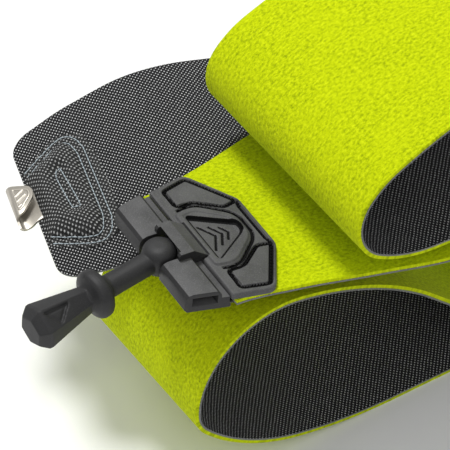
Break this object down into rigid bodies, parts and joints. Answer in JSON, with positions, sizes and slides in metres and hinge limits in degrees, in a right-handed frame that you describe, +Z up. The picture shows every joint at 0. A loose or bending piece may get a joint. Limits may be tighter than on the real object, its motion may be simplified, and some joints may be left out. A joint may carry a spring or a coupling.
{
  "type": "climbing skin",
  "caption": "Folded ski touring climbing skin: lime plush strip with woven backing, moulded tip connector with rubber toggle, and metal tail hook on a padded patch.",
  "frame": {"origin": "centre of the folded skin's footprint on the table, at z 0", "axes": "+X runs along the folded stack away from the tip connector, +Y across the strip to its far side, +Z up"},
  "size_m": [0.318, 0.1582, 0.155],
  "materials": {
    "plush": "short lime plush nap",
    "backing": "black woven backing with a light dot weave",
    "moulded": "fine matte grey moulding",
    "plate_thread": "black sewing thread",
    "steel": "turned pin",
    "rubber": "dark grey moulded rubber",
    "nickel": "satin warm nickel",
    "patch": "grey woven patch",
    "foam": "soft foam pad",
    "tail_thread": "light grey thread"
  },
  "bodies": {
    "skin": {"skin_plush_tip_pass": "plush", "skin_plush_upper_loop": "plush", "skin_plush_outer_bend": "plush", "skin_plush_lower_loop": "plush", "skin_plush_rear_pass": "plush", "skin_backing_main": "backing"},
    "tip": {"skin_plush_tip": "plush", "skin_backing_tip": "backing", "tip_plate": "moulded", "plate_thread_far": "plate_thread", "plate_thread_near": "plate_thread", "plate_thread_front": "plate_thread", "clamp_plate": "moulded", "connector_housing": "moulded", "toggle_cross_pin": "steel"},
    "toggle": {"rubber_toggle": "rubber"},
    "tail": {"skin_plush_tail": "plush", "skin_backing_tail": "backing", "tail_hook": "nickel", "tail_patch": "patch", "tail_pad": "foam", "tail_stitch_outer": "tail_thread", "tail_stitch_inner": "tail_thread", "tail_stitch_centre": "tail_thread"}
  },
  "joints": [
    {"name": "tip_lift", "type": "hinge", "parent": "skin", "child": "tip", "pos_m": [-0.05465, -0.02657, 0.09108], "axis": [0.0157, 0.9998, 0.0093], "range_deg": [0, 45], "stiffness_Nm_per_rad": 0.05},
    {"name": "toggle_swing", "type": "hinge", "parent": "tip", "child": "toggle", "pos_m": [-0.10159, -0.02528, 0.09686], "axis": [0.0643, 0.9979, 0.0049], "range_deg": [-40, 90], "stiffness_Nm_per_rad": 0.15},
    {"name": "tail_flex", "type": "hinge", "parent": "skin", "child": "tail", "pos_m": [-0.08201, 0.0342, 0.08033], "axis": [0.274, 0.9615, 0.0217], "range_deg": [0, 40], "stiffness_Nm_per_rad": 0.05}
  ]
}
